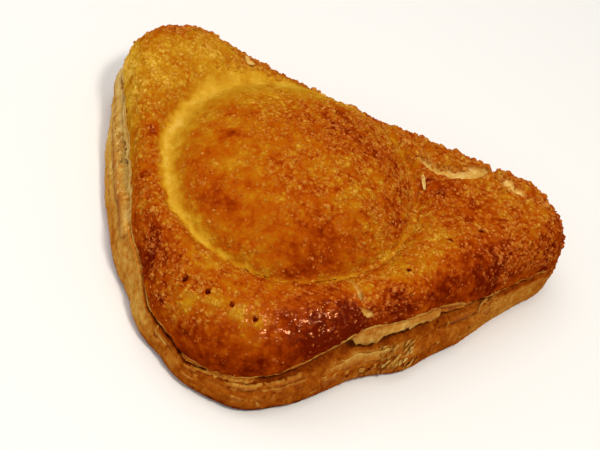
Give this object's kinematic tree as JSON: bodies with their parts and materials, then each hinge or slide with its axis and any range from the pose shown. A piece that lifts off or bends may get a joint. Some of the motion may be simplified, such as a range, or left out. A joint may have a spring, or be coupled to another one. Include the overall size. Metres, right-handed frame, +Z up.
{
  "type": "satay pastry roll",
  "caption": "Baked puff pastry triangle with a domed filled centre inside a stamped ring, a puffed layered rim and a crumb-topped crust.",
  "frame": {"origin": "on the flat resting face, straight under the centre of the stamped ring", "axes": "+X along the folded edge towards its sharper right corner, +Z up out of the dome; the corner opposite the fold points to -Y"},
  "size_m": [0.1359, 0.0989, 0.0375],
  "materials": {
    "crust": "egg-glazed baked puff pastry, golden to dark brown, with fine breadcrumbs"
  },
  "bodies": {
    "root": {"pastry": "crust"}
  },
  "joints": []
}
